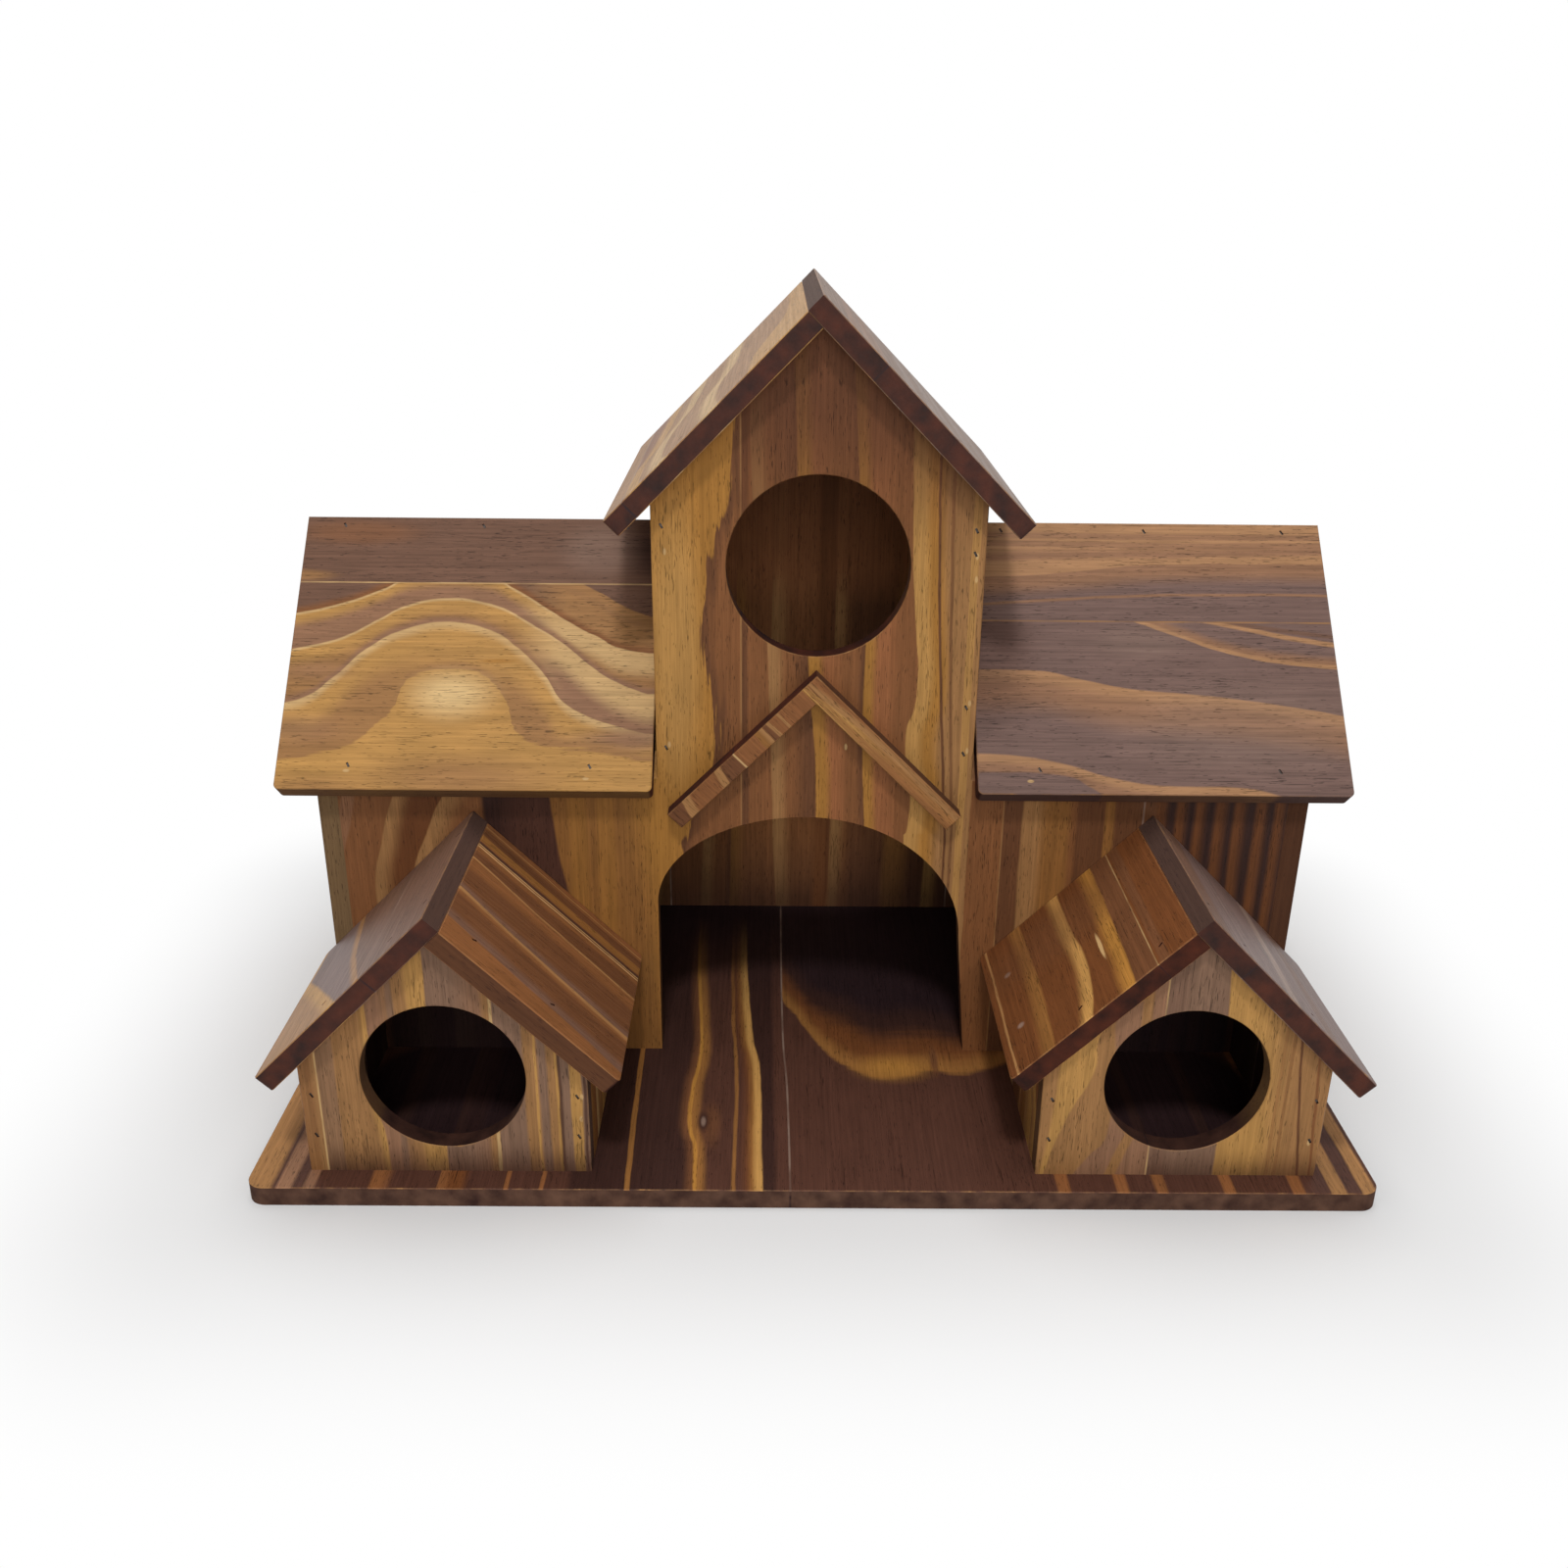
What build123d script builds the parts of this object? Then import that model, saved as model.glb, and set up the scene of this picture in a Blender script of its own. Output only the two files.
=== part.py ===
"""Free-standing wooden birdhouse: a wide gabled house with a tower through its middle, and two small
gabled huts in front of it, all nailed up from one thickness of board on a rounded base board.

The front faces -Y and the origin is at the middle of the base board's underside. Millimetres.
"""
import os
from math import atan2, cos, radians, sin, tan

from build123d import *

# Stock
board = 9.0              # thickness of every board, and both sides of the porch strips' section
roof_corner = 2.5        # rounding of the roof plates' corners at the eaves
arris = 0.4              # easing of the boards' sharp edges

# Base board: what it reaches out past the house and the huts
front_margin = 12.0      # in front of the huts
rear_margin = 13.0       # behind the house
side_margin = 15.0       # beside the house
base_corner = 8.0        # rounding of the four upright corners

# Huts
hut_width = 120.0
hut_depth = 95.0         # from the huts' front walls to the main house
hut_height = 54.0        # wall height at the eaves, above the base board
hut_inset = 10.0         # from the house's ends to the huts
hut_pitch = radians(45)
hut_eave = 15.0          # how far each roof plate reaches out past the hut's side
right_outer_eave = 17.5  # the same for the right hut's outer plate, which is cut wider
left_hut_verge = 9.0     # how far the left roof stands out past its front wall
right_hut_verge = 6.0    # the same on the right
hut_hole = 69.0          # diameter of each round entrance
hut_hole_height = 47.0   # height of its middle, above the base board

# Main house: front wall, back wall, two end walls and a ridge that runs along X
house_width = 450.0      # over both end walls
house_depth = 160.0      # over the front and back walls
hut_clearance = 9.3      # from the huts' ridges up to the wings' eaves
wing_rise = 87.0         # from the walls' height at the wings' eaves to the underside of the ridge
wing_eave = 13.0         # how far the wing roofs reach out past the front and back walls
wing_verge = 15.0        # how far they reach out past the end walls
wing_gap = 1.5           # clearance between a wing roof and the tower

# Tower
tower_width = 142.0
wing_clearance = 12.1    # from the wings' ridge up to the tower's eaves
tower_pitch = radians(45)
tower_eave = 19.0        # how far the tower roof reaches out past the tower's sides
tower_verge = 11.0       # how far it reaches out past the front and back walls
tower_hole = 79.0        # diameter of the round entrance
tower_hole_drop = 27.5   # from the tower's eaves down to the middle of its entrance

# Doorway: two quarter ellipses that meet at the top, the left one on an upright jamb and the right one
# on a lower jamb that leans out
door_left = 72.0         # from the middle of the house to the left jamb
door_right = 69.5        # from the middle of the house to the top of the right jamb
door_flare = 5.5         # how much further out the right jamb's foot is
door_peak = -3.5         # where the arch is highest, from the middle of the house
door_height = 124.5      # height of the arch, above the base board
left_spring = 80.5       # height of the left jamb
right_spring = 62.5      # height of the right jamb

# Porch: two square strips in a peak between the doorway and the tower's entrance
porch_inset = 5.0        # from the line of the tower's sides to the porch's feet
porch_drop = 6.0         # from the tower's entrance down to the peak
porch_pitch = radians(45)

# Brads: flat wire nails with a T head, sunk a little below the wood
brad_length = 18.0       # from the wood's surface to the point
brad_width = 1.3
brad_thick = 1.0
brad_head = 2.4          # length of the T head
brad_head_depth = 0.8
brad_set = 0.6           # how far the head lies below the surface
brad_twist = -62.0       # how far the heads are turned, in degrees

# Where the brads go: a positive place is measured from the start of its line, a negative one back
# from the line's end
left_tower_spots = (15.0, -10.0)             # from the wings' eaves to the tower's eaves
right_tower_spots = (13.0, 35.0, -21.0, -11.0)
rear_tower_spots = (15.0, -62.0, -10.0)
end_wall_spots = (16.0, 72.0, -16.0)         # from the base board to the wings' eaves
wing_ridge_spots = (16.0, 84.0, -18.0)       # from the tower to the verge
wing_eave_spots = (28.0, -32.0)              # the same way, along the eaves
wing_eave_entry = 1.5                        # how far inside the walls' faces these enter them
tower_roof_spots = (32.0, -45.0)             # from the ridge to the eaves, down the slope
tower_ridge_spots = (30.0, 80.0, -30.0)      # from the front wall to the back wall
hut_wall_spots = (18.0, -16.0)               # from the base board to the huts' eaves
hut_roof_spots = (24.0, -40.0)               # from the ridge to the eaves, down the slope
hut_ridge_spots = (20.0, -20.0)              # from the roof's front edge to the main house
wall_foot_spots = (34.0, -21.0)              # from the doorway's foot to the end walls
end_foot_spots = (35.0, -35.0)               # from the front wall to the back wall
hut_foot_inset = 30.0                        # from the huts' corners

FORWARD, BACKWARD, DOWN = (0, -1, 0), (0, 1, 0), (0, 0, -1)
ALONG_X, ALONG_Y = (1, 0, 0), (0, 1, 0)


def apex(half_width, eaves, pitch):
    """Height at which the undersides of two slopes meet, when they start at the eaves."""
    return eaves + half_width * tan(pitch)


def ridge_top(half_width, eaves, pitch):
    """Height of the ridge of the roof that lies on such a gable."""
    return apex(half_width, eaves, pitch) + board / cos(pitch)


def eave_drop(reach, pitch):
    """How far a roof hangs below the wall's height, where it reaches out this far past the wall."""
    return (reach - board * sin(pitch)) * tan(pitch)


# Sizes and places that follow from the values above: y values run to the back, z values up
base_width = house_width + 2 * side_margin
base_depth = front_margin + hut_depth + house_depth + rear_margin
deck = board
hut_front = front_margin - base_depth / 2
house_front = hut_front + hut_depth
house_rear = house_front + house_depth
ridge_y = (house_front + house_rear) / 2

hut_half = hut_width / 2
house_half = house_width / 2
tower_half = tower_width / 2
hut_middle = house_half - hut_inset - hut_half

hut_eaves = deck + hut_height
hut_top = ridge_top(hut_half, hut_eaves, hut_pitch)
wing_pitch = atan2(wing_rise, house_depth / 2)
wing_eaves = hut_top + hut_clearance + eave_drop(wing_eave, wing_pitch)
wing_top = ridge_top(house_depth / 2, wing_eaves, wing_pitch)
high_shoulder = wing_eaves + board * tan(wing_pitch)
tower_eaves = wing_top + wing_clearance + eave_drop(tower_eave, tower_pitch)
tower_apex = apex(tower_half, tower_eaves, tower_pitch)
tower_top = ridge_top(tower_half, tower_eaves, tower_pitch)
tower_hole_z = tower_eaves - tower_hole_drop
porch_top = tower_hole_z - tower_hole / 2 - porch_drop


def elevation(y, x=0.0):
    """Upright plane across the house at depth y, seen from the front: x to the right, z up."""
    return Plane((x, y, 0), x_dir=ALONG_X, z_dir=FORWARD)


def section(x, y=0.0):
    """Upright plane along the depth at x: y to the right, z up."""
    return Plane((x, y, 0), x_dir=ALONG_Y, z_dir=ALONG_X)


def along(start, end, spots):
    """Places on the line from start to end, each measured from the end that its sign tells."""
    return [start + spot if spot > 0 else end + spot for spot in spots]


def slope_normal(pitch, across, side):
    """Which way one slope of a roof faces; across is the axis that the slopes fall along."""
    return tuple(side * sin(pitch) * a for a in across[:2]) + (cos(pitch),)


def on_slope(top, pitch, distance):
    """How far out from the ridge, and how high, a point lies this far down a roof's slope."""
    return distance * cos(pitch), top - distance * sin(pitch)


def seat(point, facing, along_axis=ALONG_X):
    """Where a brad is driven: a point on the wood, and the direction that the wood faces there."""
    return Plane(point, x_dir=along_axis, z_dir=facing)


def drive_brads(label, seats):
    """A group of brads, and the slots in the wood that they are driven into."""
    with BuildPart() as slots:
        with BuildSketch(*seats):
            Rectangle(brad_head, brad_thick, rotation=brad_twist)
        extrude(amount=-(brad_set + brad_head_depth))
        with BuildSketch(*seats):
            Rectangle(brad_width, brad_thick, rotation=brad_twist)
        extrude(amount=-brad_length)
    with BuildPart() as brads:
        add(slots.part)
        with BuildSketch(*seats):
            Rectangle(brad_head, brad_thick, rotation=brad_twist)
        extrude(amount=-brad_set, mode=Mode.SUBTRACT)
    brads.part.label = label
    return brads, slots


def plank(label, plane, outline, length, slots=()):
    """A board with a plain outline, given as its corners, and the slots that brads leave in it."""
    with BuildPart() as piece:
        with BuildSketch(plane):
            with BuildLine():
                Polyline(*outline, close=True)
            make_face()
        extrude(amount=length)
        for slot in slots:
            add(slot.part, mode=Mode.SUBTRACT)
    piece.part.label = label
    return piece


def roof_plate(label, plane, outline, length, slots):
    """One roof plate, with its two corners at the eave rounded and its broad faces' edges eased."""
    with BuildPart() as plate:
        with BuildSketch(plane):
            with BuildLine():
                Polyline(*outline, close=True)
            make_face()
        extrude(amount=length)
        eave_face = plate.faces().sort_by(Axis.Z)[0]
        fillet(eave_face.edges().group_by(SortBy.LENGTH)[0], roof_corner)
        chamfer(plate.faces().group_by(SortBy.AREA)[-1].edges(), arris)
        add(slots.part, mode=Mode.SUBTRACT)
    plate.part.label = label
    return plate


def roof_outlines(underside, pitch, through_reach, covered_reach, lap):
    """End views of the two plates of a roof, with the ridge at 0.

    The plate on the side of lap (-1 or 1) runs through to the top, and covers the end of the other.
    Each reach is how far out from the ridge the plate's upper face ends.
    """
    top = underside + board / cos(pitch)
    joint = (-lap * board / (2 * sin(pitch)), top - board / (2 * cos(pitch)))

    def eave_corners(side, reach):
        eave = top - reach * tan(pitch)
        upper = (side * reach, eave)
        lower = (side * (reach - board * sin(pitch)), eave - board * cos(pitch))
        return upper, lower

    through = ((0, top), *eave_corners(lap, through_reach), joint)
    covered = (joint, *eave_corners(-lap, covered_reach), (0, underside))
    return through, covered


def side_wall_outline(side, half_width, foot, eaves, pitch):
    """End view of a side wall whose top is planed to the roof's slope."""
    outer, inner = side * half_width, side * (half_width - board)
    return (inner, foot), (outer, foot), (outer, eaves), (inner, eaves + board * tan(pitch))


# Brads of the tower's walls
tower_seats = []
for side, front_spots in ((-1, left_tower_spots), (1, right_tower_spots)):
    line = side * (tower_half - board / 2)
    for spots, y, facing in (
        (front_spots, house_front, FORWARD),
        (rear_tower_spots, house_rear, BACKWARD),
    ):
        heights = along(wing_eaves, tower_eaves, spots)
        tower_seats += [seat((line, y, z), facing) for z in heights]
tower_brads, tower_slots = drive_brads("tower_brads", tower_seats)

# Brads of the end walls
wall_middles = (house_front + board / 2, house_rear - board / 2)
end_seats = [
    seat((side * house_half, y, z), (side, 0, 0), ALONG_Y)
    for side in (-1, 1)
    for y in wall_middles
    for z in along(deck, wing_eaves, end_wall_spots)
]
end_wall_brads, end_slots = drive_brads("end_wall_brads", end_seats)

# Brads of the wing roofs: a row along the ridge, from the front, and a row above each eave
wing_start = tower_half + wing_gap
wing_end = house_half + wing_verge
ridge_out, ridge_up = on_slope(wing_top, wing_pitch, board / 2)
entry_out = house_depth / 2 - wing_eave_entry + board * sin(wing_pitch)
eave_out, eave_up = on_slope(wing_top, wing_pitch, entry_out / cos(wing_pitch))
wing_front_normal = slope_normal(wing_pitch, ALONG_Y, -1)
wing_rear_normal = slope_normal(wing_pitch, ALONG_Y, 1)
wing_seats = []
for side in (-1, 1):
    for x in along(wing_start, wing_end, wing_ridge_spots):
        wing_seats.append(seat((side * x, ridge_y - ridge_out, ridge_up), wing_front_normal))
    for x in along(wing_start, wing_end, wing_eave_spots):
        wing_seats.append(seat((side * x, ridge_y - eave_out, eave_up), wing_front_normal))
        wing_seats.append(seat((side * x, ridge_y + eave_out, eave_up), wing_rear_normal))
wing_roof_brads, wing_slots = drive_brads("wing_roof_brads", wing_seats)

# Brads of the tower's roof: into the front and back walls, and along the ridge from the right
tower_reach = tower_half + tower_eave
tower_roof_seats = []
for side in (-1, 1):
    normal = slope_normal(tower_pitch, ALONG_X, side)
    for distance in along(0, tower_reach / cos(tower_pitch), tower_roof_spots):
        out, up = on_slope(tower_top, tower_pitch, distance)
        tower_roof_seats += [seat((side * out, y, up), normal, ALONG_Y) for y in wall_middles]
out, up = on_slope(tower_top, tower_pitch, board / 2)
for y in along(house_front, house_rear, tower_ridge_spots):
    tower_roof_seats.append(seat((out, y, up), slope_normal(tower_pitch, ALONG_X, 1), ALONG_Y))
tower_roof_brads, tower_roof_slots = drive_brads("tower_roof_brads", tower_roof_seats)

# Brads of the walls' feet, driven up through the base board
feet = []
for side, jamb_foot in ((-1, door_left), (1, door_right + door_flare)):
    foot_line = along(jamb_foot, house_half - board, wall_foot_spots)
    feet += [(side * x, y) for x in foot_line for y in wall_middles]
    end_middle = side * (house_half - board / 2)
    feet += [(end_middle, y) for y in along(house_front, house_rear, end_foot_spots)]
    for hut_side in (-1, 1):
        side_middle = side * hut_middle + hut_side * (hut_half - board / 2)
        front_spot = side * hut_middle + hut_side * (hut_half - hut_foot_inset)
        feet += [(side_middle, house_front - hut_foot_inset), (front_spot, hut_front + board / 2)]
base_brads, base_slots = drive_brads("base_brads", [seat((x, y, 0), DOWN) for x, y in feet])

# Base board
with BuildPart() as base_board:
    with BuildSketch():
        RectangleRounded(base_width, base_depth, base_corner)
    extrude(amount=board)
    chamfer(base_board.faces().sort_by(Axis.Z)[-1].edges(), arris)
    add(base_slots.part, mode=Mode.SUBTRACT)
base_board.part.label = "base_board"


def house_wall_outline():
    """Front view of the wide wall with the tower's gable, up to the high edge of its shoulders."""
    wing = house_half - board
    right = [
        (wing, deck), (wing, high_shoulder), (tower_half, high_shoulder), (tower_half, tower_eaves)
    ]
    left = [(-x, z) for x, z in reversed(right)]
    return right + [(0, tower_apex)] + left


def shoulder_bevel(face_y, inward):
    """What is planed off the tops of a wall's shoulders, so that the wing roofs lie flat on them."""
    outline = (
        (face_y, wing_eaves), (face_y, high_shoulder), (face_y + inward * board, high_shoulder)
    )
    with BuildPart() as bevel:
        for side in (-1, 1):
            with BuildSketch(section(side * tower_half)):
                with BuildLine():
                    Polyline(*outline, close=True)
                make_face()
            extrude(amount=side * (house_half - tower_half))
    return bevel


wall_slots = (tower_slots, end_slots, wing_slots, tower_roof_slots, base_slots)

# Outline of the doorway, seen from the front
with BuildSketch() as doorway:
    with BuildLine():
        left_arc = EllipticalCenterArc(
            (door_peak, deck + left_spring),
            door_left + door_peak,
            door_height - left_spring,
            start_angle=90,
            arc_size=90,
        )
        right_arc = EllipticalCenterArc(
            (door_peak, deck + right_spring),
            door_right - door_peak,
            door_height - right_spring,
            start_angle=0,
            arc_size=90,
        )
        jamb_feet = (-door_left, deck), (door_right + door_flare, deck)
        Polyline(left_arc @ 1, *jamb_feet, right_arc @ 0)
    make_face()

# Front wall, with the arched doorway and the tower's round entrance
with BuildPart() as front_wall:
    with BuildSketch(elevation(house_front)):
        with BuildLine():
            Polyline(*house_wall_outline(), close=True)
        make_face()
        add(doorway.sketch, mode=Mode.SUBTRACT)
        with Locations((0, tower_hole_z)):
            Circle(tower_hole / 2, mode=Mode.SUBTRACT)
    extrude(amount=-board)
    add(shoulder_bevel(house_front, 1).part, mode=Mode.SUBTRACT)
    front_edges = front_wall.faces().sort_by(Axis.Y)[0].edges()
    tower_edges = front_edges.filter_by_position(Axis.Z, wing_eaves, tower_top)
    chamfer(tower_edges.filter_by(Axis.X, reverse=True), arris)
    for slot in wall_slots:
        add(slot.part, mode=Mode.SUBTRACT)
front_wall.part.label = "front_wall"

# Back wall: the same outline with no openings
with BuildPart() as back_wall:
    with BuildSketch(elevation(house_rear - board)):
        with BuildLine():
            Polyline(*house_wall_outline(), close=True)
        make_face()
    extrude(amount=-board)
    add(shoulder_bevel(house_rear, -1).part, mode=Mode.SUBTRACT)
    for slot in wall_slots:
        add(slot.part, mode=Mode.SUBTRACT)
back_wall.part.label = "back_wall"

pieces = [base_board, front_wall, back_wall]
pieces += [tower_brads, end_wall_brads, wing_roof_brads, tower_roof_brads, base_brads]

# End walls, with their own gables
end_wall_outline = (
    (house_front, deck),
    (house_rear, deck),
    (house_rear, wing_eaves),
    (ridge_y, wing_eaves + wing_rise),
    (house_front, wing_eaves),
)
for name, x in (("left", -house_half), ("right", house_half - board)):
    pieces.append(
        plank(f"{name}_end_wall", section(x), end_wall_outline, board, (end_slots, base_slots))
    )

# Wing roofs: the front plate covers the end of the rear plate along the ridge
wing_reach = house_depth / 2 + wing_eave
wing_outlines = roof_outlines(
    wing_eaves + wing_rise, wing_pitch, wing_reach, wing_reach, lap=-1
)
for name, x in (("left", -wing_end), ("right", wing_start)):
    for place, outline in zip(("front", "rear"), wing_outlines):
        plane = section(x, ridge_y)
        label = f"{name}_wing_{place}_roof"
        pieces.append(roof_plate(label, plane, outline, wing_end - wing_start, wing_slots))

# Tower sides, from the wings' eaves up, between the front and back walls
for name, side in (("left", -1), ("right", 1)):
    outline = side_wall_outline(side, tower_half, wing_eaves, tower_eaves, tower_pitch)
    plane = elevation(house_front + board)
    length = -(house_depth - 2 * board)
    pieces.append(plank(f"{name}_tower_side", plane, outline, length, (tower_slots,)))

# Tower roof: the right plate covers the end of the left plate
tower_outlines = roof_outlines(tower_apex, tower_pitch, tower_reach, tower_reach, lap=1)
for name, outline in zip(("right", "left"), tower_outlines):
    plane = elevation(house_front - tower_verge)
    length = -(house_depth + 2 * tower_verge)
    pieces.append(roof_plate(f"{name}_tower_roof", plane, outline, length, tower_roof_slots))

# Porch strips, glued to the front wall: the right strip covers the end of the left strip
porch_reach = tower_half - porch_inset
porch_outlines = roof_outlines(
    porch_top - board / cos(porch_pitch), porch_pitch, porch_reach, porch_reach, lap=1
)
for name, outline in zip(("right", "left"), porch_outlines):
    with BuildPart() as strip:
        with BuildSketch(elevation(house_front)):
            with BuildLine():
                Polyline(*outline, close=True)
            make_face()
        extrude(amount=board)
        chamfer(strip.faces().sort_by(Axis.Y)[0].edges(), arris)
    strip.part.label = f"{name}_porch_strip"
    pieces.append(strip)


def build_hut(name, side, verge, outer_eave):
    """A small gabled hut against the front wall, closed by that wall behind and the base below."""
    middle = side * hut_middle
    underside = apex(hut_half, hut_eaves, hut_pitch)
    outer_reach = hut_half + outer_eave
    inner_reach = hut_half + hut_eave
    roof_front = hut_front - verge

    seats = []
    for wall, reach in ((side, outer_reach), (-side, inner_reach)):
        line = middle + wall * (hut_half - board / 2)
        heights = along(deck, hut_eaves, hut_wall_spots)
        seats += [seat((line, hut_front, z), FORWARD) for z in heights]
        normal = slope_normal(hut_pitch, ALONG_X, wall)
        for distance in along(0, reach / cos(hut_pitch), hut_roof_spots):
            out, up = on_slope(hut_top, hut_pitch, distance)
            seats.append(seat((middle + wall * out, hut_front + board / 2, up), normal, ALONG_Y))
    out, up = on_slope(hut_top, hut_pitch, board / 2)
    normal = slope_normal(hut_pitch, ALONG_X, side)
    for y in along(roof_front, house_front, hut_ridge_spots):
        seats.append(seat((middle + side * out, y, up), normal, ALONG_Y))
    brads, slots = drive_brads(f"{name}_hut_brads", seats)

    with BuildPart() as hut_wall:
        with BuildSketch(elevation(hut_front, middle)):
            with BuildLine():
                Polyline(
                    (-hut_half, deck),
                    (hut_half, deck),
                    (hut_half, hut_eaves),
                    (0, underside),
                    (-hut_half, hut_eaves),
                    close=True,
                )
            make_face()
            with Locations((0, deck + hut_hole_height)):
                Circle(hut_hole / 2, mode=Mode.SUBTRACT)
        extrude(amount=-board)
        front_face = hut_wall.faces().sort_by(Axis.Y)[0]
        chamfer(front_face.edges().filter_by(Axis.X, reverse=True), arris)
        for slot in (slots, base_slots):
            add(slot.part, mode=Mode.SUBTRACT)
    hut_wall.part.label = f"{name}_hut_front"
    hut = [hut_wall, brads]

    for place, wall in (("outer", side), ("inner", -side)):
        outline = side_wall_outline(wall, hut_half, deck, hut_eaves, hut_pitch)
        plane = elevation(hut_front + board, middle)
        length = -(hut_depth - board)
        hut.append(plank(f"{name}_hut_{place}_side", plane, outline, length, (slots, base_slots)))

    roofs = roof_outlines(underside, hut_pitch, outer_reach, inner_reach, lap=side)
    for place, outline in zip(("outer", "inner"), roofs):
        plane = elevation(roof_front, middle)
        length = -(house_front - roof_front)
        hut.append(roof_plate(f"{name}_hut_{place}_roof", plane, outline, length, slots))
    return hut


pieces += build_hut("left", -1, left_hut_verge, hut_eave)
pieces += build_hut("right", 1, right_hut_verge, right_outer_eave)

os.makedirs("parts", exist_ok=True)
for piece in pieces:
    export_step(piece.part, f"parts/{piece.part.label}.step")
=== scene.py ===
"""Looks of a wooden birdhouse in scorched and varnished pine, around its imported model.

Every board has its own figure, drawn in the board's own millimetres: u runs along the grain, v
across it and w through the thickness. A figure starts from one tone, and lines, stripes and
spots are painted on it in turn.
"""
import math
import random

import bpy
from mathutils import Matrix, Vector


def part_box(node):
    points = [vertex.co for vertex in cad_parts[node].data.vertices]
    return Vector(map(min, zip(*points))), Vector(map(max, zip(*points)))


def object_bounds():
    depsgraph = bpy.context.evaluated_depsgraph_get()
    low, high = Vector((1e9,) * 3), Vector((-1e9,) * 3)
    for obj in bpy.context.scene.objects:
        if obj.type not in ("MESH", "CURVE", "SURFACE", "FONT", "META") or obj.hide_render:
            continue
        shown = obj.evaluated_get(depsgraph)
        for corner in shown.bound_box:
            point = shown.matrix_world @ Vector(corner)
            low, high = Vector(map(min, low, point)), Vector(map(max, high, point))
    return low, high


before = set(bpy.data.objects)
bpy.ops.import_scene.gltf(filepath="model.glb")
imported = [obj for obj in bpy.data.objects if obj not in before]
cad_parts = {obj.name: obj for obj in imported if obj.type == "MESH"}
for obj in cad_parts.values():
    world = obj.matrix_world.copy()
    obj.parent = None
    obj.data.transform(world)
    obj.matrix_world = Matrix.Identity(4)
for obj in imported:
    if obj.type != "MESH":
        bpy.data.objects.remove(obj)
cad_low, cad_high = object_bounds()

MM = 0.001
X, Y, Z = Vector((1, 0, 0)), Vector((0, 1, 0)), Vector((0, 0, 1))

# Tones of the wood, as sRGB bytes, from the palest to the charred
TONES = {
    "cream": (216, 184, 132),
    "straw": (194, 158, 108),
    "honey": (178, 133, 74),
    "fawn": (164, 122, 86),
    "ash": (142, 118, 104),
    "gold": (162, 113, 52),
    "tan": (152, 110, 68),
    "hazel": (140, 102, 76),
    "cedar": (148, 94, 58),
    "taupe": (128, 98, 78),
    "ochre": (136, 92, 48),
    "mauve": (112, 88, 80),
    "brown": (126, 81, 48),
    "plum": (108, 78, 62),
    "umber": (102, 65, 41),
    "rust": (104, 62, 34),
    "dusk": (76, 48, 38),
    "ember": (84, 42, 28),
    "char": (54, 34, 29),
    "black": (40, 27, 29),
    "coal": (42, 24, 20),
}

# Pale and dark tones of the growth rings that are drawn at random
RING_TONES = (("honey", "tan"), ("tan", "brown"), ("tan", "umber"), ("ochre", "brown"), ("straw", "ochre"))

# How far noise bends the lines of a figure, in mm: in slow waves and in quick ones
SLOW_DRIFT, QUICK_DRIFT = 1.2, 0.45

# How far each noise of a board is moved from the one before, in cells: along the grain and across
STEP_ALONG, STEP_ACROSS = 1.7, 3.91

# Places of the two colours and of the result among the mix node's sockets
FIRST_COLOUR, SECOND_COLOUR, MIXED_COLOUR = 6, 7, 2


def middle(node, axis):
    """Middle of a node's box along one axis, in metres."""
    low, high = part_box(node)
    return (low[axis] + high[axis]) / 2


def hut_middle(side):
    return Vector((middle(f"{side}_hut_front", 0), 0, 0))


def hut_ridge(side):
    return hut_middle(side) + Vector((0, 0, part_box(f"{side}_hut_outer_roof")[1][2]))


# Places on the house that figures start from or keep to
origin = Vector((0, 0, 0))
wing_ridge = Vector((0, middle("left_end_wall", 1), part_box("left_wing_front_roof")[1][2]))
tower_ridge = Vector((0, 0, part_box("right_tower_roof")[1][2]))
porch_peak = Vector((0, 0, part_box("right_porch_strip")[1][2]))
hut_places = [hut_middle(side).x / MM for side in ("left", "right")]
room_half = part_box("back_wall")[1].x / MM   # from the middle of the house to its end walls
back_inner, back_outer = (corner.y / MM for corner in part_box("back_wall"))   # faces of the back wall

# Directions down the slopes: the wings' two, and those of the other roofs, which lie at 45 degrees
wing_rise, wing_run = 87, 80   # in mm, over half the depth of the house
wing_slope = math.atan2(wing_rise, wing_run)
wing_falls_forward = Vector((0, -math.cos(wing_slope), -math.sin(wing_slope)))
wing_falls_back = Vector((0, math.cos(wing_slope), -math.sin(wing_slope)))
falls_left = Vector((-math.sqrt(0.5), 0, -math.sqrt(0.5)))
falls_right = Vector((math.sqrt(0.5), 0, -math.sqrt(0.5)))


def linear(tone):
    """Scene-linear colour of a named tone."""
    values = [c / 255 for c in TONES[tone]]
    return tuple(c / 12.92 if c < 0.04045 else ((c + 0.055) / 1.055) ** 2.4 for c in values) + (1.0,)


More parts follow.
